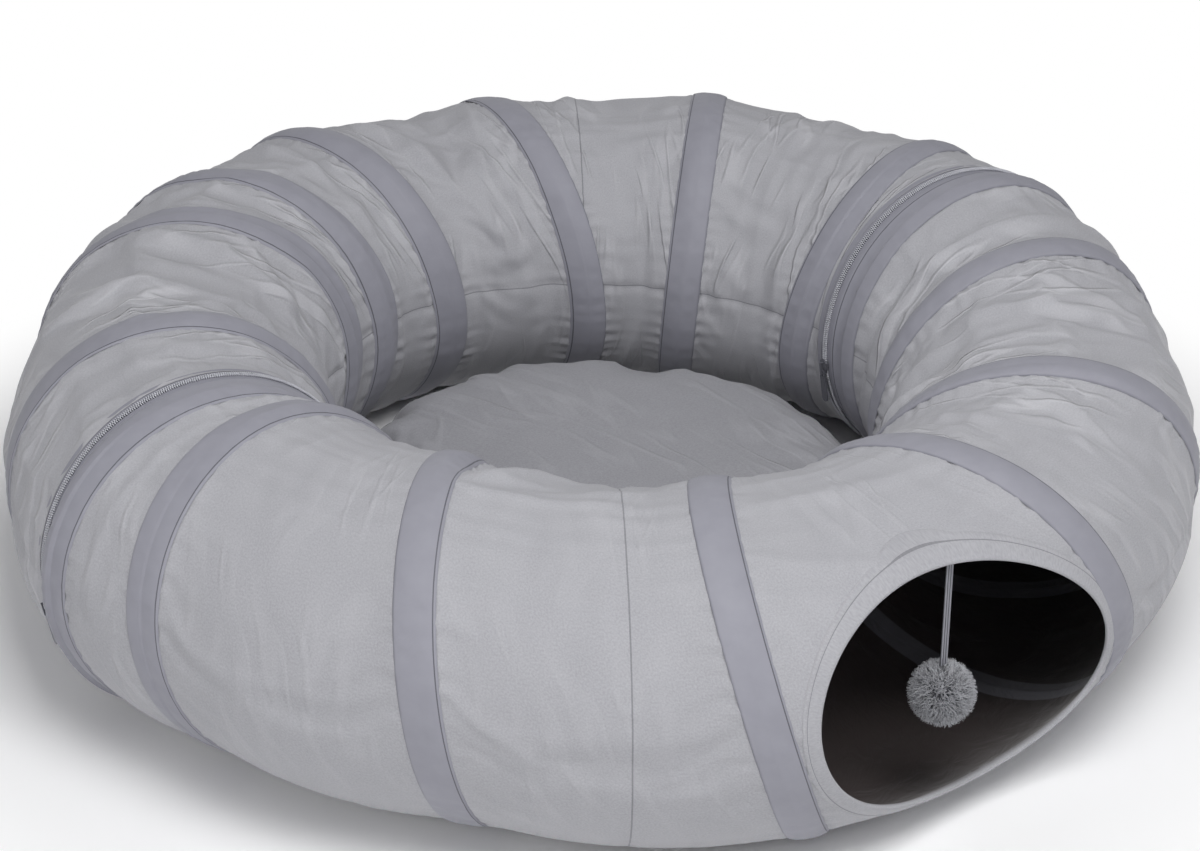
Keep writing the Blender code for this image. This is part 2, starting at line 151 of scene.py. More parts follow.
# Cover cloth: each length of the tunnel is a strip of brushed polyester suede, rolled round and sewn
# between two wire hoops. The hoops lean, so the strips twist, and the cloth falls in folds where it is slack.
# Lengths are in metres. Between its hoops the cloth swells outwards and is drawn in on the inner side.
ring_radius, hoop_radius = 0.357, 0.1315
tube_height = 0.132647
cloth_rise, cloth_swell, cloth_draw = -0.0003, 0.006, 0.004
lowest_cloth = 0.0012
cloth_step, cloth_columns = 0.005, 150
band_half = 0.016


def hoop(azimuth, turn, lean, reach):
    """A hoop's centre, its way out from the middle of the ring, and its leaning way up."""
    azimuth, turn, lean = (math.radians(angle) for angle in (azimuth, turn, lean))
    outward = np.array((math.cos(azimuth), math.sin(azimuth), 0.0))
    out = outward * math.cos(turn) + np.array((-math.sin(azimuth), math.cos(azimuth), 0.0)) * math.sin(turn)
    up = np.array((0, 0, math.cos(lean))) + np.cross(out, (0, 0, 1)) * math.sin(lean)
    return outward * ring_radius * reach + np.array((0, 0, tube_height * math.cos(lean))), out, up


def mouth(side, y):
    """A circle square to the Y axis, at the end of a half tunnel."""
    return np.array((side * ring_radius, y, tube_height)), np.array((side, 0.0, 0.0)), np.array((0, 0, 1.0))


front_hoops = [
    mouth(-1, -0.024), hoop(195.5, -2, 8.5, 0.965), hoop(222, 5.5, 9, 0.97), hoop(256, -15, 16.5, 1.035),
    hoop(287, 8, 18, 1.0), hoop(310.5, 17, 17, 0.985), hoop(337, 14, 6, 0.97), mouth(1, -0.024),
]
rear_hoops = [
    hoop(13, 5, 9.5, 1.0), hoop(44, 8, 5, 0.97), hoop(70, 15, -6, 0.965), hoop(97.5, 9.5, -6.5, 1.015),
    hoop(117, 12, 0, 1.0), hoop(132.6, 17, 5, 0.985), hoop(163.5, 1.5, 1, 0.97),
]
front_run = [mouth(-1, -0.008), *front_hoops, mouth(1, -0.008)]
rear_run = [mouth(1, 0.0062), *rear_hoops, mouth(-1, 0.0062)]


def hoop_points(ring, turn, rise):
    """Points at angles round a hoop, at a height over it."""
    centre, out, up = ring
    turn, rise = np.asarray(turn)[:, None], np.asarray(rise)[:, None]
    return centre + (np.cos(turn) * out + np.sin(turn) * up) * (hoop_radius + rise)


def polar_step(start, end):
    """The angle round the middle of the ring from one point to another, and how far out each is."""
    turn = np.arctan2(start[:, 0] * end[:, 1] - start[:, 1] * end[:, 0], (start[:, :2] * end[:, :2]).sum(1))
    return turn, np.hypot(*start[:, :2].T), np.hypot(*end[:, :2].T)


def span(first, second, turn):
    """How far apart two hoops are along the tube, at an angle round it."""
    step, near, far = polar_step(*(hoop_points(ring, turn, 0 * turn) for ring in (first, second)))
    return np.abs(step) * (near + far) / 2


def skin(first, second, share, turn, rise, swell_share=None):
    """Points of the tube's wall between two hoops, carried round the middle of the ring. Between them the
    wall hangs outwards and down, and is drawn in at the top and on the inner side."""
    wave = np.cos(turn + 0.35)
    swell_share = share if swell_share is None else swell_share
    swell = np.where(wave > 0, cloth_swell, cloth_draw) * wave
    rise = rise + swell * np.sin(np.pi * np.clip(swell_share, 0, 1)) ** 0.7
    start, end = hoop_points(first, turn, rise), hoop_points(second, turn, rise)
    step, near, far = polar_step(start, end)
    azimuth = np.arctan2(start[:, 1], start[:, 0]) + share * step
    radius = near + share * (far - near)
    height = np.maximum(start[:, 2] + share * (end[:, 2] - start[:, 2]), lowest_cloth + rise * 0)
    return np.stack((radius * np.cos(azimuth), radius * np.sin(azimuth), height), 1)


def coordinates(mesh):
    flat = np.empty(len(mesh.vertices) * 3)
    mesh.vertices.foreach_get("co", flat)
    return flat.reshape(-1, 3)


def normals_of(mesh):
    flat = np.empty(len(mesh.vertices) * 3)
    mesh.vertices.foreach_get("normal", flat)
    return flat.reshape(-1, 3)


def move_to(mesh, points):
    mesh.vertices.foreach_set("co", points.ravel())


def stored(mesh, label):
    values = np.empty(len(mesh.vertices))
    mesh.attributes[label].data.foreach_get("value", values)
    return values


def store(mesh, label, values):
    """Keeps one value for each point of a mesh, for its shading or for later steps."""
    mesh.attributes.new(label, "FLOAT", "POINT").data.foreach_set("value", values)


def select(*pieces):
    """Selects only these pieces and makes the first of them the active one."""
    bpy.ops.object.select_all(action="DESELECT")
    for piece in pieces:
        piece.select_set(True)
    bpy.context.view_layer.objects.active = pieces[0]


def edit_whole(step, **settings):
    """Does one editing step on the whole mesh of the active piece."""
    bpy.ops.object.mode_set(mode="EDIT")
    bpy.ops.mesh.select_all(action="SELECT")
    step(**settings)
    bpy.ops.object.mode_set(mode="OBJECT")


def add_modifier(piece, kind, **settings):
    """Adds a modifier and applies it."""
    select(piece)
    step = piece.modifiers.new(kind.lower(), kind)
    for name, setting in settings.items():
        setattr(step, name, setting)
    bpy.ops.object.modifier_apply(modifier=step.name)


def rolled_strip(name, along, around, place, first_turn=0.0, last_turn=2 * math.pi):
    """A flat grid of cloth, rolled into place: place takes each point's share along and its angle round."""
    bpy.ops.object.select_all(action="DESELECT")
    bpy.ops.mesh.primitive_grid_add(x_subdivisions=along, y_subdivisions=around, size=1)
    strip = bpy.context.object
    strip.name = strip.data.name = name
    flat = coordinates(strip.data) + 0.5
    share, turn = flat[:, 0], first_turn + flat[:, 1] * (last_turn - first_turn)
    points, length = place(share, turn)
    move_to(strip.data, points)
    store(strip.data, "along", share)
    store(strip.data, "around", turn)
    corners = np.empty(len(strip.data.loops), np.int32)
    strip.data.loops.foreach_get("vertex_index", corners)
    metres = np.stack((length * share, hoop_radius * turn), 1)[corners]
    strip.data.uv_layers[0].data.foreach_set("uv", metres.ravel())
    strip.data.update()
    return strip


def close_strip(strip):
    """Sews the two long edges together."""
    select(strip)
    edit_whole(bpy.ops.mesh.remove_doubles, threshold=0.00005)
    bpy.ops.object.shade_smooth()


def mix(tree, share, first, second, **settings):
    """A colour between two others."""
    values = {0: share, 6: first, 7: second}
    return node(tree, "ShaderNodeMix", values, data_type="RGBA", **settings).outputs[2]


def noise(tree, place, scale, **values):
    return node(tree, "ShaderNodeTexNoise", {"Vector": place, "Scale": scale, **values}).outputs["Fac"]


def attribute(tree, label):
    """What a mesh has stored under a label."""
    return node(tree, "ShaderNodeAttribute", attribute_name=label).outputs["Fac"]


def bump(tree, height, strength, distance, **values):
    values = {"Height": height, "Strength": strength, "Distance": distance, **values}
    return node(tree, "ShaderNodeBump", values).outputs[0]


suede, tree, shader = new_material("brushed polyester suede", {
    "Roughness": 0.9, "Specular IOR Level": 0.2, "Sheen Weight": 0.18, "Sheen Roughness": 0.45,
})
# Soft brushed pile: matt, a little lighter where it is seen at a slant, with a faint mottled nap.
cloth_uv = node(tree, "ShaderNodeUVMap").outputs["UV"]
# The pile clumps in grains of about 1.3 mm, drawn at 1.6 mm so that they show.
grain = noise(tree, cloth_uv, 1 / 0.0016, Detail=3.0, Roughness=0.65)
patches = noise(tree, cloth_uv, 1 / 0.045, Detail=2.0)
grain_shade = graded(tree, grain, 0.3, 0.7, 0.0, 0.75)
shade = maths(tree, "ADD", grain_shade, maths(tree, "MULTIPLY", patches, 0.35), use_clamp=True)
cloth_colour = mix(tree, shade, linear("9A9A9F"), linear("B2B2B6"))
pile = bump(tree, grain, 0.4, 0.0003)
# Fine creases about 100 mm long and 3 mm wide run round the tube at a slant, in patches. Each is sharp along
# its top. The attribute holds how crumpled a length of cloth is.
wander = node(tree, "ShaderNodeTexNoise", {"Vector": cloth_uv, "Scale": 7.0, "Detail": 1.0}).outputs["Color"]
wander_sum = {0: wander, 1: (0.05, 0.02, 0), 2: cloth_uv}
wandering = node(tree, "ShaderNodeVectorMath", wander_sum, operation="MULTIPLY_ADD").outputs[0]
crease_tops = 0.0
for slant, across_scale, along_scale in ((0.3, 26, 4.5), (-0.22, 34, 6)):
    slanted = node(tree, "ShaderNodeMapping", {"Vector": wandering, "Rotation": (0, 0, slant)}).outputs[0]
    stretch = (across_scale, along_scale, 1)
    stretched = node(tree, "ShaderNodeMapping", {"Vector": slanted, "Scale": stretch}).outputs[0]
    streaks = noise(tree, stretched, 1.0, Detail=1.5, Roughness=0.45)
    distance = maths(tree, "ABSOLUTE", maths(tree, "SUBTRACT", streaks, 0.5))
    top = graded(tree, distance, 0.0, 0.085, 1.0, 0.0, interpolation_type="SMOOTHERSTEP")
    sharp_top = maths(tree, "POWER", top, 1.6)
    where = noise(tree, slanted, 11.0 + slant * 5, Detail=0.0)
    patch = graded(tree, where, 0.44, 0.62, interpolation_type="SMOOTHSTEP")
    crease_tops = maths(tree, "MULTIPLY_ADD", sharp_top, patch, crease_tops)
crumpled = maths(tree, "MULTIPLY", crease_tops, attribute(tree, "crumple"))
tree.links.new(bump(tree, crumpled, 1.0, 0.0017, Normal=pile), shader.inputs["Normal"])
# The tops of the creases are painted lighter, a painted highlight where they catch the light. A sewn seam
# shows as a dark line about 1.2 mm wide, where its attribute is 1.
painted_crease_highlight = maths(tree, "MULTIPLY", crumpled, 0.2, use_clamp=True)
cloth_shade = mix(tree, painted_crease_highlight, cloth_colour, linear("DCDCE0"))
for label in ("closing_seam", "cross_seam"):
    seam_line = maths(tree, "COMPARE", attribute(tree, label), 1.0, 0.0006)
    cloth_shade = mix(tree, maths(tree, "MULTIPLY", seam_line, 0.45), cloth_shade, linear("4A4B50"))
tree.links.new(cloth_shade, shader.inputs["Base Color"])

# The doorway is an ellipse that leans. The cloth is held still up to 16 mm from its edge, and cut 6 mm from
# it, under the middle of the hem.
door_azimuth, door_tilt = math.radians(271), math.radians(-10)
door_out = np.array((math.cos(door_azimuth), math.sin(door_azimuth), 0.0))
door_across = np.array((-door_out[1], door_out[0], 0.0))
door_half_width, door_half_height, door_height = 0.135, 0.0932, 0.1273
held_reach, hem_middle = 0.016, 0.006


def beyond_door(points, extra):
    """Over 1 where a point of the outer wall lies outside the doorway's leaning ellipse, widened by a hem."""
    across, rise = points @ door_across, points[:, 2] - door_height
    along_width = (across * math.cos(door_tilt) + rise * math.sin(door_tilt)) / (door_half_width + extra)
    along_height = (rise * math.cos(door_tilt) - across * math.sin(door_tilt)) / (door_half_height + extra)
    return np.where(points @ door_out < ring_radius, 9.0, np.hypot(along_width, along_height))


def creases(seed, count, depth, placed=()):
    """Creases of one length of cloth. They leave the inner wall, draw together where the cloth is shortest,
    and run up over the tube at a slant. Each is a sharp ridge with a hollow on one side. They fade out towards
    the hoops. Placed ones have a middle and a reach in degrees, a share along, a slant, a width, a side and a
    height."""
    chance = np.random.default_rng(seed)
    fade = 0.03
    lines = []
    for _ in range(count):
        lines.append((
            math.radians(chance.uniform(60, 210)), math.radians(chance.uniform(30, 80)),
            chance.uniform(0.0, 1.0), chance.normal() * 0.16, chance.uniform(0, 6.28),
            chance.uniform(0.004, 0.011), chance.choice((-1, 1)), chance.uniform(0.45, 1.0),
        ))
    for middle, reach, start, slant, width, side, crest in placed:
        middle, reach = math.radians(middle), math.radians(reach)
        lines.append((middle, reach, start, slant, 0.0, width, side, crest / depth))
    waves = [
        (k, chance.normal() / k ** 0.5, chance.uniform(0, 6.28), chance.normal() * 2.5) for k in range(3, 13)
    ]

    def height(share, turn, lengths):
        total = np.zeros_like(turn)
        for middle, reach, start, slant, phase, width, side, size in lines:
            path = start + slant * (turn - middle) + 0.03 * np.sin(3 * turn + phase)
            offset = (share - path) * lengths
            ridge = np.exp(-np.abs(offset / width) ** 1.4)
            hollow = np.exp(-((offset - side * 2.2 * width) / (1.6 * width)) ** 2)
            total += size * (ridge - 0.8 * hollow) * np.exp(-((turn - middle) / reach) ** 2 * 0.8)
        for k, size, phase, drift in waves:
            total += 0.13 * size * np.cos(k * turn + phase + drift * (share - 0.5))
        room = np.minimum(share, 1 - share) * lengths
        return depth * total * np.clip(room / fade, 0, 1)

    return height


def random_waves(chance, counts, turn):
    """Waves of random height and place, so many to the turn, added up."""
    return sum(chance.normal() * np.cos(count * turn + chance.uniform(0, 6.28)) for count in counts)


def cut_size(lengths, turn, slack):
    """The cloth's flat length at an angle round the tube, and its flat girth's radius, with their slack."""
    along_outer, along_inner, round_slack = slack
    inner = (1 - np.cos(turn)) / 2
    return lengths * (1 + along_outer + (along_inner - along_outer) * inner), hoop_radius * (1 + round_slack)


def run_cloth(piece, gravity, frames=20, **settings):
    """Simulates a piece as cloth and returns where its points end up."""
    cloth = piece.modifiers.new("cloth", "CLOTH")
    cloth.settings.effector_weights.gravity = gravity
    for name, setting in settings.items():
        setattr(cloth.settings, name, setting)
    cloth.collision_settings.use_collision = False
    cloth.point_cache.frame_start, cloth.point_cache.frame_end = 1, frames
    for step in range(1, frames + 1):
        bpy.context.scene.frame_set(step)
    fallen = coordinates(piece.evaluated_get(bpy.context.evaluated_depsgraph_get()).data)
    piece.modifiers.remove(cloth)
    bpy.context.scene.frame_set(1)
    return fallen


def kept_near(start, fallen, most):
    """The fallen points, no farther than most from where they started."""
    moved = fallen - start
    far = np.linalg.norm(moved, axis=1, keepdims=True)
    return start + moved * (most * np.tanh(far / most) / np.maximum(far, 1e-9))


def settle(piece, share, turn, held, lengths, slack):
    """Lets the cloth fall into folds. Its flat size is its size here with slack along and round the tube."""
    cut, girth_radius = cut_size(lengths, turn, slack)
    flat = np.stack(((share - 0.5) * cut, girth_radius * np.cos(turn), girth_radius * np.sin(turn)), 1)
    piece.shape_key_add(name="hung")
    cut_key = piece.shape_key_add(name="cut size")
    cut_key.data.foreach_set("co", flat.ravel())
    cut_key.value = 0.0
    sewn = piece.vertex_groups.new(name="sewn")
    sewn.add(np.flatnonzero(held).tolist(), 1.0, "REPLACE")
    fallen = run_cloth(
        piece, gravity=0.3, quality=3, mass=0.15, tension_stiffness=25, compression_stiffness=25,
        shear_stiffness=8, bending_stiffness=0.25, air_damping=2, vertex_group_mass="sewn",
        rest_shape_key=cut_key, use_pressure=True, uniform_pressure_force=0.6,
    )
    piece.shape_key_clear()
    piece.vertex_groups.clear()
    return fallen


def add_panel(name, body, first, second, slack, folds, crease_depth, seed,
              margins=(band_half, band_half)):
    """Rolls one length of cover cloth, creases it, and lets it buckle between its hoops, near the wall."""
    longest = span(first, second, np.linspace(0, 2 * math.pi, 13)).max()

    def place(share, turn):
        return skin(first, second, share, turn, 0 * turn + cloth_rise), longest

    strip = rolled_strip(name, max(12, round(longest / cloth_step)), cloth_columns, place)
    close_strip(strip)
    start, share, turn = coordinates(strip.data), stored(strip.data, "along"), stored(strip.data, "around")
    lengths = span(first, second, turn)
    room = np.minimum(share * lengths - margins[0], (1 - share) * lengths - margins[1])
    doorway = name == "front_panel_4_cover"
    if doorway:
        room = np.minimum(room, (beyond_door(start, 0.0) - 1) * door_half_width - held_reach)
    loose = np.clip(room / 0.02, 0, 1)
    creased = folds(share, turn, lengths)
    if doorway:
        creased *= loose
    outward = normals_of(strip.data)
    start = start + outward * creased[:, None]
    move_to(strip.data, start)
    # The cloth may move 6.5 mm on the outside and 11.5 mm on the inside of the ring.
    most = (0.0065 + 0.0025 * (1 - np.cos(turn)))[:, None]
    start = kept_near(start, settle(strip, share, turn, room <= 0, lengths, slack), most)
    # The sharpest tops of the folds, which the falling cloth has smoothed, are drawn again.
    sharper = creases(seed + 200, 8 + 2 * seed % 5, crease_depth)(share, turn, lengths)
    start = start + outward * ((0.5 * sharper + 0.4 * creased) * loose)[:, None]
    start[:, 2] = np.maximum(start[:, 2], lowest_cloth)
    move_to(strip.data, start)
    strip.data.update()
    strip.data.materials.append(suede)
    add_modifier(strip, "SUBSURF", levels=1, render_levels=1)
    gather(strip, first, second, seed)
    if doorway:
        cut_doorway(strip)
    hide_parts(name[:-6])
    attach(strip, body)
    return strip


# Two lengths of cloth are joined across by a seam at these degrees round the ring.
cross_seams = {"front_panel_3_cover": 240.5, "rear_panel_3_cover": 61.6}
closing_turn = math.radians(176)


def gather(strip, first, second, seed):
    """Small puckers where the cloth is stitched to the casing tapes and along its own seams. The seams'
    attributes hold 1 plus the distance to a seam, for the cloth's shading."""
    chance = np.random.default_rng(seed + 100)
    share, turn, points = stored(strip.data, "along"), stored(strip.data, "around"), coordinates(strip.data)
    lengths = span(first, second, turn)
    from_hoop = np.minimum(share * lengths, (1 - share) * lengths)
    from_band = from_hoop - band_half
    ripple = random_waves(chance, range(34, 78, 4), turn) / 3.3
    pucker_height, pucker_reach = 0.0007, 0.009
    pucker = pucker_height * ripple * np.exp(-(np.maximum(from_band, 0) / pucker_reach)) * (from_band > 0)
    seams = {"closing_seam": (turn - closing_turn) * hoop_radius}
    if strip.name in cross_seams:
        azimuth = np.degrees(np.arctan2(points[:, 1], points[:, 0])) % 360
        from_seam = np.radians(azimuth - cross_seams[strip.name])
        seams["cross_seam"] = from_seam * np.hypot(points[:, 0], points[:, 1])
    for distance in seams.values():
        pucker = pucker + (0.0004 * ripple - 0.0008) * np.exp(-(distance / 0.005) ** 2)
    moved = points + normals_of(strip.data) * pucker[:, None]
    moved[:, 2] = np.maximum(moved[:, 2], 0.001)
    move_to(strip.data, moved)
    crumpled = crumpling[strip.name[:-6]] * np.clip((np.sin(turn + 0.3) + 1.0), 0.35, 1.0)
    store(strip.data, "crumple", crumpled)
    store(strip.data, "hoop_distance", from_hoop)
    for label, distance in seams.items():
        store(strip.data, label, 1 + distance)
    strip.data.update()


doorway_wall = []


def cut_doorway(strip):
    """Keeps the uncut wall to lay the doorway's hem on, then cuts the cloth under the middle of that hem."""
    corners = [tuple(face.vertices) for face in strip.data.polygons]
    doorway_wall.append(BVHTree.FromPolygons([vertex.co.copy() for vertex in strip.data.vertices], corners))
    cut = bmesh.new()
    cut.from_mesh(strip.data)
    centres = np.array([face.calc_center_median() for face in cut.faces])
    inside = beyond_door(centres, hem_middle) < 1
    bmesh.ops.delete(cut, geom=[face for face, gone in zip(cut.faces, inside) if gone], context="FACES")
    cut.to_mesh(strip.data)
    cut.free()


def no_folds(share, turn, lengths):
    return 0.0


# Slack as shares of the cloth's size, along the tube outside, along it inside the ring, and round the tube.
# After it, how many creases each length of cloth has and how deep they are.
front_slack = [
    (0.01, 0.08, 0.006), (0.004, 0.07, 0.003), (0.003, 0.08, 0.003), (0.003, 0.08, 0.003), (0.01, 0.12, 0.01),
    (0.012, 0.14, 0.014), (0.012, 0.12, 0.014),
]
front_creases = [
    (5, 0.002), (5, 0.0018), (5, 0.0018), (6, 0.0018), (10, 0.0032), (11, 0.0036), (9, 0.0034),
]
rear_slack = [
    (0.01, 0.1, 0.01), (0.012, 0.12, 0.01), (0.008, 0.08, 0.008), (0.008, 0.08, 0.008), (0.01, 0.1, 0.01),
    (0.012, 0.12, 0.014), (0.014, 0.14, 0.018), (0.014, 0.14, 0.016),
]
rear_creases = [
    (7, 0.003), (10, 0.003), (8, 0.0028), (8, 0.003), (9, 0.0036), (9, 0.0038), (11, 0.0038), (8, 0.0034),
]
# The deep folds that the eye picks out on the inner crest, by the place of their length of cloth in its half.
front_placed = {
    0: [(108, 26, 0.5, 0.25, 0.009, 1, 0.006)],
    2: [(112, 26, 0.27, 0.4, 0.013, -1, 0.009)],
    5: [(120, 40, 0.35, -0.2, 0.009, 1, 0.005), (100, 45, 0.62, 0.15, 0.009, -1, 0.005)],
}
rear_placed = {
    3: [(105, 40, 0.3, 0.25, 0.01, 1, 0.006), (118, 35, 0.62, -0.2, 0.01, -1, 0.006)],
    4: [(110, 45, 0.5, 0.2, 0.01, -1, 0.007)],
    6: [(115, 45, 0.28, 0.2, 0.01, 1, 0.006), (95, 50, 0.6, 0.1, 0.008, 1, 0.005)],
}
# The front half's last stretches, beside the zips, are under the outer tapes and have no folds.
front_folds = [creases(i, *sizes, front_placed.get(i, ())) for i, sizes in enumerate(front_creases)]
front_folds = [no_folds, *front_folds, no_folds]
rear_folds = [creases(20 + i, *sizes, rear_placed.get(i, ())) for i, sizes in enumerate(rear_creases)]
# How crumpled each length of cloth is with fine creases, whose tops are painted lighter.
crumpling = {f"front_panel_{i + 1}": share for i, share in enumerate((0.4, 0.25, 0.2, 0.2, 0.7, 1.0, 1.0))}
rear_crumpling = (0.9, 0.8, 0.6, 0.6, 0.7, 0.9, 1.0, 0.8)
crumpling.update({f"rear_panel_{i + 1}": share for i, share in enumerate(rear_crumpling)})
covers = {"front_half": [], "rear_half": []}
for i, (first, second) in enumerate(zip(front_hoops, front_hoops[1:])):
    panel = add_panel(
        f"front_panel_{i + 1}_cover", "front_half", first, second,
        front_slack[i], front_folds[i + 1], front_creases[i][1], i,
    )
    covers["front_half"].append(panel)
# The rear half's first and last lengths are sewn to the zip tapes, which hold 4 mm of them.
zip_margin = 0.004
last = len(rear_run) - 2
for i, (first, second) in enumerate(zip(rear_run, rear_run[1:])):
    margins = (zip_margin if i == 0 else band_half, zip_margin if i == last else band_half)
    panel = add_panel(
        f"rear_panel_{i + 1}_cover", "rear_half", first, second,
        rear_slack[i], rear_folds[i], rear_creases[i][1], 20 + i, margins,
    )
    covers["rear_half"].append(panel)


# Casing tapes: a smooth blue-grey polyester tape 32 mm wide is sewn down both its edges over each wire hoop.
# It arches over the wire and follows the folds of the cloth on both sides.
def weave(tree, place, spacing, distortion, direction):
    """Threads at a spacing. At scale 1 they repeat every 0.314 along an axis and 0.628 along a diagonal."""
    repeat = 0.628 if direction == "DIAGONAL" else 0.314
    values = {"Vector": place, "Scale": repeat / spacing, "Distortion": distortion}
    return node(tree, "ShaderNodeTexWave", values, bands_direction=direction).outputs["Fac"]


casing, tree, shader = new_material("plain woven polyester casing tape", {
    "Roughness": 0.62, "Specular IOR Level": 0.3, "Sheen Weight": 0.08,
})
# A tight plain weave with a slight gloss and a faint mottle.
# The stitched seam is a thin dark line 2 mm inside one edge. Along the other edge the tape is darkened softly,
# a painted shadow where it meets the cloth.
across = attribute(tree, "along")
stitched = maths(tree, "COMPARE", across, 0.935, 0.014)
painted_edge_shade = graded(tree, across, 0.0, 0.05, 0.45, 0.0)
seam_and_painted_edge_shade = maths(tree, "MAXIMUM", maths(tree, "MULTIPLY", stitched, 0.9), painted_edge_shade)
tape_uv = node(tree, "ShaderNodeUVMap").outputs["UV"]
mottle = noise(tree, tape_uv, 1 / 0.02, Detail=4.0)
tape_colour = mix(tree, mottle, linear("8C8C95"), linear("9A9AA3"))
tree.links.new(mix(tree, seam_and_painted_edge_shade, tape_colour, linear("585860")), shader.inputs["Base Color"])
# The threads are 0.4 mm apart, drawn at 0.8 mm so that they show.
threads = weave(tree, tape_uv, 0.0008, 0.4, "Y")
tree.links.new(bump(tree, threads, 0.15, 0.0002), shader.inputs["Normal"])


def band_place(before, ring, after, fold_before, fold_after, seed):
    """Lays a casing tape over its hoop, on the cloth of the lengths before and after it."""
    edge_rise, arch_rise, tucked = 0.0004, 0.0030, -0.0002
    wire_round, round_excess = 0.007, 0.00146

    def place(share, turn):
        chance = np.random.default_rng(seed)
        waver = random_waves(chance, range(3, 30, 2), turn) / 3.7
        gathers = random_waves(chance, range(40, 90, 5), turn) / 3.2
        offset = (share - 0.5) * 2 * band_half
        arch = np.cos(np.pi * np.clip(share - 0.5, -0.5, 0.5)) ** 0.7
        ridge = edge_rise + (arch_rise + 0.0002 * waver) * arch
        ridge = ridge + 0.00035 * gathers * np.sin(2 * np.pi * share) ** 2
        ridge = np.where(np.abs(share - 0.5) > 0.499, tucked, ridge)
        sides = []
        for neighbour, fold in ((before, fold_before), (after, fold_after)):
            lengths = span(ring, neighbour, turn)
            near = np.minimum(np.abs(offset) / lengths, 1)
            there = near if neighbour is after else 1 - near
            # Over the wire the tape rounds off what would be a sharp bend in the cloth.
            rounded = np.minimum((np.hypot(offset, wire_round) - round_excess) / lengths, 1)
            rise = cloth_rise + ridge + fold(there, turn, lengths)
            sides.append(skin(ring, neighbour, near, turn, rise, rounded))
        return np.where((offset < 0)[:, None], *sides), 2 * band_half
    return place


for half, run, fold_run in (("front", front_run, front_folds), ("rear", rear_run, rear_folds)):
    for i in range(1, len(run) - 1):
        place = band_place(run[i - 1], run[i], run[i + 1], fold_run[i - 1], fold_run[i], 40 + i)
        band = rolled_strip(f"{half}_band_{i}_tape", 26, 220, place)
        close_strip(band)
        band.data.materials.append(casing)
        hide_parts(f"{half}_band_{i}")
        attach(band, f"{half}_half")


# Lining: a dark brown-black polyester backs the whole tunnel, a few millimetres inside the cover.
# It shows only through the doorway.
lining_cloth, tree, shader = new_material("crisp dark polyester lining", {
    "Roughness": 0.5, "Sheen Weight": 0.25,
})
# Thin, smooth and a little glossy, so its wrinkles catch the light. The hoops' tapes show through in grey.
tape_strip = graded(tree, attribute(tree, "hoop_distance"), 0.012, 0.0135, 1.0, 0.0)
tree.links.new(mix(tree, tape_strip, linear("4C4443"), linear("8A8A92")), shader.inputs["Base Color"])
lining_uv = node(tree, "ShaderNodeUVMap").outputs["UV"]
lining_wrinkles = noise(tree, lining_uv, 1 / 0.03, Detail=4.0, Distortion=0.8)
tree.links.new(bump(tree, lining_wrinkles, 0.6, 0.004), shader.inputs["Normal"])
lining_depth = 0.0035

for body, panels in covers.items():
    linings = []
    for panel in panels:
        lining = panel.copy()
        lining.data = panel.data.copy()
        bpy.context.scene.collection.objects.link(lining)
        move_to(lining.data, coordinates(lining.data) - normals_of(panel.data) * lining_depth)
        lining.data.flip_normals()
        lining.data.materials.clear()
        lining.data.materials.append(lining_cloth)
        add_modifier(lining, "DECIMATE", decimate_type="UNSUBDIV", iterations=2)
        linings.append(lining)
    select(*linings)
    bpy.ops.object.join()
    whole = bpy.context.object
    whole.name = whole.data.name = body.replace("half", "lining_cloth")
    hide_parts(body.replace("half", "lining"))
    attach(whole, body)


# Doorway hem: a strip of the cover cloth is folded over the raw edge of the oval doorway and topstitched.
# Its section runs from its outer edge over the fold to its inner edge: how far each point lies out from the
# doorway's edge, and how high over the wall.
hem_section = np.array((
    (0.0125, 0.0001), (0.0120, 0.0010), (0.0098, 0.0013), (0.0088, 0.0009), (0.0075, 0.0014),
    (0.0035, 0.0016), (0.0010, 0.0016), (-0.0004, 0.0011), (-0.0010, 0.0), (-0.0006, -0.0014),
    (0.0006, -0.0026), (0.0040, -0.0032), (0.0090, -0.0034),
))
hem_rows, hem_columns, hem_width = 24, 200, 0.02


def hem_place(share, turn):
    """Lays the hem's section on the doorway's wall, all round the doorway."""
    step = share * (len(hem_section) - 1)
    extra, rise = (np.interp(step, np.arange(len(hem_section)), column) for column in hem_section.T)
    spots = np.empty((len(share), 3))
    for i, (widening, angle) in enumerate(zip(extra, turn)):
        wide = (door_half_width + widening) * math.cos(angle)
        high = (door_half_height + widening) * math.sin(angle)
        across = wide * math.cos(door_tilt) - high * math.sin(door_tilt)
        start = door_out * 0.6 + door_across * across
        start[2] = door_height + wide * math.sin(door_tilt) + high * math.cos(door_tilt)
        spots[i] = doorway_wall[0].ray_cast(Vector(start), Vector(-door_out))[0]
    # The wall's small steps are averaged out along the hem.
    order = np.lexsort((turn, share))
    rows = spots[order].reshape(-1, hem_columns + 1, 3)[:, :hem_columns]
    rows = sum(np.roll(rows, k, axis=1) for k in range(-4, 5)) / 9
    spots[order] = np.concatenate((rows, rows[:, :1]), 1).reshape(-1, 3)
    middles = spots * (1, 1, 0)
    middles = middles / np.linalg.norm(middles, axis=1, keepdims=True) * ring_radius + (0, 0, tube_height)
    out = spots - middles
    return spots + out / np.linalg.norm(out, axis=1, keepdims=True) * rise[:, None], hem_width


hem = rolled_strip("doorway_hem", hem_rows, hem_columns, hem_place)
close_strip(hem)
hem.data.materials.append(suede)
# The topstitching runs 9 mm from the fold, where the hem's section has its groove.
stitch_share, section_length = 0.23, 0.03
store(hem.data, "closing_seam", 1 + (stored(hem.data, "along") - stitch_share) * section_length)
edit_whole(bpy.ops.mesh.normals_make_consistent, inside=False)
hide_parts("door_facing")
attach(hem, "front_half")


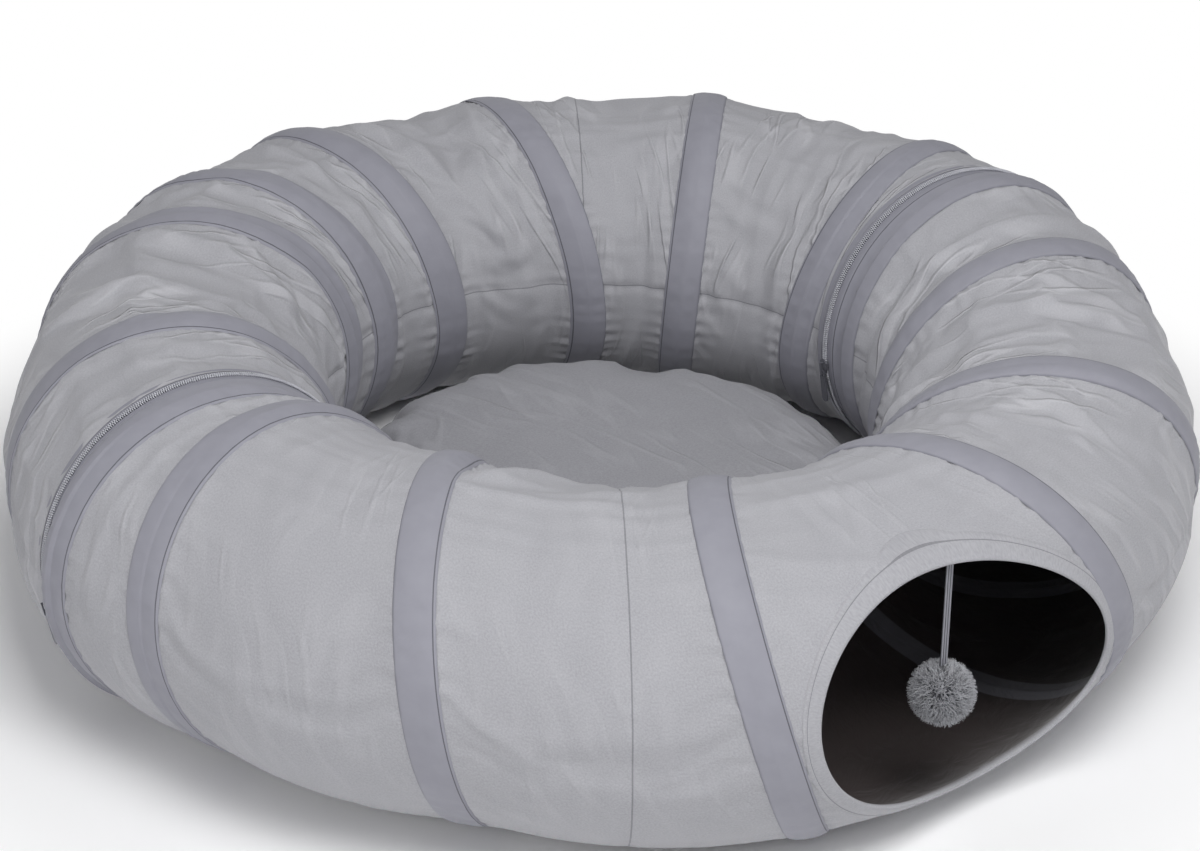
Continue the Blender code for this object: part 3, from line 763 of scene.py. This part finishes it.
# Zips: woven tape with a nylon coil along its edge, one on each half, from floor to floor over the top.
# Below each slider the two rows have come apart.
zip_tape, tree, shader = new_material("woven polyester zip tape", {"Roughness": 0.75})
# A close twill, a little darker than the cover. Its ribs are 1.4 mm apart.
twill = weave(tree, node(tree, "ShaderNodeUVMap").outputs["UV"], 0.0014, 0.3, "DIAGONAL")
tree.links.new(mix(tree, twill, linear("888891"), linear("94949D")), shader.inputs["Base Color"])
tree.links.new(bump(tree, twill, 0.3, 0.0002), shader.inputs["Normal"])

coil, tree, shader = new_material("moulded nylon zip coil", {"Roughness": 0.4})
# Smooth nylon monofilament with a soft gloss.
coil_tint = noise(tree, node(tree, "ShaderNodeTexCoord").outputs["Object"], 1 / 0.01)
tree.links.new(mix(tree, coil_tint, linear("B0B1B8"), linear("CDCED4")), shader.inputs["Base Color"])

zip_first, zip_last = math.radians(-79), math.radians(259)
slider_places = {"left": (-1, math.radians(-10)), "right": (1, math.radians(188))}
parting_length = 0.05
tape_gap, tape_thickness = 0.0006, 0.0006
tooth_pitch = 0.0018
tooth_half_size = np.array((0.00066, 0.0018, 0.0011))


def parting(side, slider_turn, turn):
    """How far below the slider a point of the zip lies, from 0 to 1 over the parting's length."""
    below = (slider_turn - turn) if side < 0 else (turn - slider_turn)
    return np.clip(below * hoop_radius / parting_length, 0, 1) ** 0.8


def tape_place(side, slider_turn, towards, width):
    def place(share, turn):
        apart = parting(side, slider_turn, turn) * (0.0008 if towards < 0 else 0.0028) * (1 - share)
        across = tape_gap + share * (width - tape_gap) + apart
        rise = -0.0012 + 0.0001 * np.cos(share * 9)
        plain = hoop_points(mouth(side, 0.0), turn, rise)
        plain[:, 1] += towards * across
        return plain, width
    return place


def add_teeth(name, side, slider_turn, towards):
    """One row of the coil: a small rounded bar, copied at the coil's pitch along the tape's edge."""
    bpy.ops.object.select_all(action="DESELECT")
    bpy.ops.mesh.primitive_uv_sphere_add(segments=6, ring_count=4, radius=1)
    row = bpy.context.object
    row.name = row.data.name = name
    bar = coordinates(row.data) * tooth_half_size
    corners = [list(face.vertices) for face in row.data.polygons]
    count = int(hoop_radius * (zip_last - zip_first) / tooth_pitch)
    turns = zip_first + (np.arange(count) + (0.25 if towards < 0 else 0.75)) * (zip_last - zip_first) / count
    level = 0 * turns
    middles = hoop_points(mouth(side, 0.0), turns, level + 0.0002)
    apart = parting(side, slider_turn, turns) * (0.0012 if towards < 0 else 0.0030)
    middles[:, 1] += towards * (0.0013 + apart)
    out = hoop_points(mouth(side, 0.0), turns, level + 0.01) - hoop_points(mouth(side, 0.0), turns, level)
    out /= np.linalg.norm(out, axis=1, keepdims=True)
    way = np.cross(out, (0, 1, 0))
    points = middles[:, None] + bar[None, :, :1] * way[:, None] + bar[None, :, 1:2] * np.array((0, 1, 0))
    points = points + bar[None, :, 2:] * out[:, None]
    faces = [tuple(corner + k * len(bar) for corner in face) for k in range(count) for face in corners]
    mesh = bpy.data.meshes.new(name)
    mesh.from_pydata(points.reshape(-1, 3).tolist(), [], faces)
    row.data = mesh
    edit_whole(bpy.ops.mesh.normals_make_consistent, inside=False)
    bpy.ops.object.shade_smooth()
    mesh.materials.append(coil)
    return row


for side_name, (side, slider_turn) in slider_places.items():
    for half, towards, width in (("front", -1, 0.0077), ("rear", 1, 0.012)):
        place = tape_place(side, slider_turn, towards, width)
        tape = rolled_strip(f"{side_name}_zip_{half}_cloth", 10, 150, place, zip_first, zip_last)
        add_modifier(tape, "SOLIDIFY", thickness=tape_thickness, offset=0)
        bpy.ops.object.shade_smooth_by_angle(angle=0.6)
        tape.data.materials.append(zip_tape)
        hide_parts(f"{side_name}_zip_{half}_tape")
        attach(tape, f"{half}_half")
        teeth = add_teeth(f"{side_name}_zip_{half}_coil", side, slider_turn, towards)
        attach(teeth, f"{half}_half")


# Zip sliders and pullers: cast zinc with a satin grey paint, the puller's tongue framed and recessed.
# Their solids are shown as they are, with their edges softened.
zinc, tree, shader = new_material("painted zinc casting", {"Metallic": 0.35, "Roughness": 0.38})
# The paint is a little uneven, in spots of 2 mm.
paint = noise(tree, node(tree, "ShaderNodeTexCoord").outputs["Object"], 1 / 0.002, Detail=3.0)
tree.links.new(mix(tree, paint, linear("5E5F66"), linear("7A7B82")), shader.inputs["Base Color"])
tree.links.new(bump(tree, paint, 0.2, 0.0001), shader.inputs["Normal"])
for name in ("left_zip_slider", "right_zip_slider", "left_zip_puller", "right_zip_puller"):
    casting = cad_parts[name]
    weld = casting.modifiers.new("weld", "WELD")
    weld.merge_threshold = 0.00001
    bevel = casting.modifiers.new("bevel", "BEVEL")
    bevel.width, bevel.segments = 0.00025, 2
    bevel.limit_method, bevel.angle_limit = "ANGLE", math.radians(35)
    casting.data.materials.clear()
    casting.data.materials.append(zinc)


# Wire hoops: round spring steel inside the casing tapes, shown as their solids are.
# None of it is seen while the tapes are closed over it.
spring, tree, shader = new_material("drawn spring steel wire", {"Metallic": 1.0, "Roughness": 0.35})
# Bright drawn wire, a little uneven in tone.
drawn = noise(tree, node(tree, "ShaderNodeTexCoord").outputs["Object"], 1 / 0.004)
tree.links.new(mix(tree, drawn, linear("8E8E90"), linear("A6A6A8")), shader.inputs["Base Color"])
for name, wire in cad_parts.items():
    if "_hoop_" in name:
        wire.data.materials.clear()
        wire.data.materials.append(spring)


# Cushion: two rounds of the cover cloth round a soft filling, sewn at the edge and puckered along the seam.
# Its edge is wider than the solid's and reaches towards the tunnel's wall.
cushion_suede = suede.copy()
cushion_suede.name = "brushed polyester suede on the cushion"
# The same pile, laid by its place in space, since the cushion has no flat layout. Its colour is made a little
# darker all over, a painted shade.
tree = cushion_suede.node_tree
solid_place = node(tree, "ShaderNodeTexCoord").outputs["Object"]
placed_kinds = ("ShaderNodeTexNoise", "ShaderNodeMapping")
for pattern in [made for made in tree.nodes if made.bl_idname in placed_kinds]:
    socket = pattern.inputs["Vector"]
    if not socket.is_linked or socket.links[0].from_node.bl_idname == "ShaderNodeUVMap":
        tree.links.new(solid_place, socket)
for added in [made for made in tree.nodes if made.bl_idname == "ShaderNodeVectorMath"]:
    tree.links.new(solid_place, added.inputs[2])
cushion_base = tree.nodes["Principled BSDF"].inputs["Base Color"]
cushion_painted_shade = mix(tree, 1.0, cushion_base.links[0].from_socket, linear("EDEDEE"), blend_type="MULTIPLY")
tree.links.new(cushion_painted_shade, cushion_base)

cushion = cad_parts["mat"].copy()
cushion.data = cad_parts["mat"].data.copy()
cushion.name = cushion.data.name = "round_cushion"
cushion.parent = None
bpy.context.scene.collection.objects.link(cushion)
select(cushion)
edit_whole(bpy.ops.mesh.remove_doubles, threshold=0.00001)
add_modifier(cushion, "REMESH", mode="VOXEL", voxel_size=0.006, use_smooth_shade=True)
cushion.data.materials.clear()
cushion.data.materials.append(cushion_suede)
# The loose filling pushes the cloth out, by up to 9 mm, between puckers drawn in from the edge.
most_puff = 0.009
flat = coordinates(cushion.data)
puffed = run_cloth(
    cushion, gravity=0, quality=3, mass=0.2, tension_stiffness=12, compression_stiffness=12,
    shear_stiffness=5, bending_stiffness=0.1, shrink_min=-0.05,
    use_pressure=True, uniform_pressure_force=4,
)
flat = kept_near(flat, puffed, most_puff)
turn, reach = np.arctan2(flat[:, 1], flat[:, 0]), np.hypot(flat[:, 0], flat[:, 1])
chance = np.random.default_rng(5)
ripples = random_waves(chance, range(16, 46, 3), turn) / 3.2
level_place = np.stack((flat[:, 0], flat[:, 1])).T
dents = sum(
    chance.normal() * np.cos(level_place @ chance.normal(size=2) * 14 + chance.uniform(0, 6.28))
    for _ in range(9)
) / 3
ripple_height, dent_height = 0.0022, 0.003
upper = np.clip((flat[:, 2] - 0.02) / 0.03, 0, 1)
flat[:, 2] += upper * (ripple_height * ripples * np.clip((reach - 0.1) / 0.1, 0, 1) + dent_height * dents)
edge_widening = 0.085
widened = 1 + edge_widening * np.clip((flat[:, 2] - 0.004) / 0.012, 0, 1) * np.clip(reach / 0.2, 0, 1) ** 2
flat[:, :2] *= widened[:, None]
flat[:, 2] = np.maximum(flat[:, 2], 0.0)
move_to(cushion.data, flat)
cushion.data.update()
store(cushion.data, "crumple", np.full(len(flat), 0.45))
add_modifier(cushion, "SUBSURF", levels=1, render_levels=1)
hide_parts("mat")
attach(cushion, "cushion")


# Toy: a flat ribbed elastic strap is sewn under the doorway's top hem and carries a plush pompom.
# The pompom is a small ball wound with strands of yarn that spread and clump together.
elastic, tree, shader = new_material("ribbed braided elastic", {"Roughness": 0.8})
# Matt yarn over rubber cores, in lengthwise ribs. The grooves between the ribs are painted dark, a painted
# shade.
yarn = noise(tree, node(tree, "ShaderNodeTexCoord").outputs["Object"], 1 / 0.0009, Detail=2.0)
yarn_and_painted_groove_shade = maths(tree, "MULTIPLY_ADD", yarn, 0.2, attribute(tree, "rib"), use_clamp=True)
tree.links.new(mix(tree, yarn_and_painted_groove_shade, linear("303137"), linear("95969D")), shader.inputs["Base Color"])

strap_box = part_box("toy_strap")
strap_middle = (Vector(strap_box[0]) + Vector(strap_box[1])) / 2
strap_width, strap_thickness, rib_height = 0.0065, 0.0009, 0.0005
bpy.ops.object.select_all(action="DESELECT")
bpy.ops.mesh.primitive_grid_add(x_subdivisions=42, y_subdivisions=60, size=1)
strap = bpy.context.object
strap.name = strap.data.name = "elastic_strap"
flat = coordinates(strap.data)
rib = np.abs(np.cos(flat[:, 0] * math.pi * 3)) ** 1.5
store(strap.data, "rib", rib)
# The strap's ends run 1 mm up into the hem and 3 mm down into the pompom.
height = strap_box[1][2] - strap_box[0][2] + 0.004
points = np.outer(flat[:, 0] * strap_width, door_across) + np.outer(rib_height * rib, door_out)
points = points + np.outer(flat[:, 1] * height - 0.001, (0, 0, 1))
move_to(strap.data, points + np.array(strap_middle))
add_modifier(strap, "SOLIDIFY", thickness=strap_thickness, offset=-1)
bpy.ops.object.shade_smooth_by_angle(angle=0.7)
strap.data.materials.append(elastic)
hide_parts("toy_strap")
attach(strap, "strap")

plush, tree, shader = new_material("cut plush yarn", {"Roughness": 0.95, "Sheen Weight": 0.3})
# Soft grey pile, painted darker deep in the ball than at the tips, a painted shade among the strands.
plush_painted_depth_shade = mix(tree, attribute(tree, "tip"), linear("55565B"), linear("BABBC0"))
tree.links.new(plush_painted_depth_shade, shader.inputs["Base Color"])

ball_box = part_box("toy_pompom")
ball_middle = (np.array(ball_box[0]) + np.array(ball_box[1])) / 2
chance = np.random.default_rng(7)
strands, rings, ball_radius = 3600, 5, 0.0258
root_radius, core_radius, strand_radius = 0.012, 0.017, 0.0006
golden = math.pi * (3 - math.sqrt(5)) * np.arange(strands)
heights = 1 - 2 * (np.arange(strands) + 0.5) / strands
level = np.sqrt(1 - heights ** 2)
ways = np.stack((level * np.cos(golden), level * np.sin(golden), heights), 1)
clump = ways[chance.integers(0, strands, strands // 14)]
nearest = clump[np.argmax(ways @ clump.T, axis=1)]
curl = chance.normal(size=(strands, 3)) * 0.3
side_way = np.cross(ways, chance.normal(size=(strands, 3)))
side_way /= np.linalg.norm(side_way, axis=1, keepdims=True)
other_way = np.cross(ways, side_way)
reach = ball_radius * (0.9 + 0.1 * chance.uniform(size=strands))
points, tips = [], []
for ring in range(rings):
    share = ring / (rings - 1)
    radius = root_radius + (reach - root_radius) * share
    bent = ways + (nearest - ways) * 0.55 * share ** 2 + curl * share ** 2 * 0.5
    bent /= np.linalg.norm(bent, axis=1, keepdims=True)
    middle = bent * radius[:, None]
    thick = strand_radius * (1 - 0.75 * share)
    for corner in range(3):
        turn = corner * 2 * math.pi / 3
        points.append(middle + thick * (math.cos(turn) * side_way + math.sin(turn) * other_way))
        tips.append(np.full(strands, share))
points = np.stack(points, 1).reshape(-1, 3) + ball_middle
faces = []
for strand in range(strands):
    base = strand * rings * 3
    for ring in range(rings - 1):
        for corner in range(3):
            low, other = base + ring * 3 + corner, base + ring * 3 + (corner + 1) % 3
            faces.append((low, other, other + 3, low + 3))
    faces.append(tuple(base + (rings - 1) * 3 + corner for corner in range(3)))
bpy.ops.object.select_all(action="DESELECT")
bpy.ops.mesh.primitive_uv_sphere_add(segments=24, ring_count=16, radius=core_radius, location=ball_middle)
pompom = bpy.context.object
bpy.ops.object.transform_apply(location=True, rotation=False, scale=False)
core = pompom.data
mesh = bpy.data.meshes.new("plush_pompom")
all_points = np.concatenate((coordinates(core), points))
core_faces = [tuple(face.vertices) for face in core.polygons]
shift = len(core.vertices)
strand_faces = [tuple(shift + corner for corner in face) for face in faces]
mesh.from_pydata(all_points.tolist(), [], core_faces + strand_faces)
pompom.data = mesh
pompom.name = "plush_pompom"
store(mesh, "tip", np.concatenate((np.zeros(shift), np.stack(tips, 1).ravel())))
bpy.ops.object.shade_smooth()
mesh.materials.append(plush)
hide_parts("toy_pompom")
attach(pompom, "pompom")
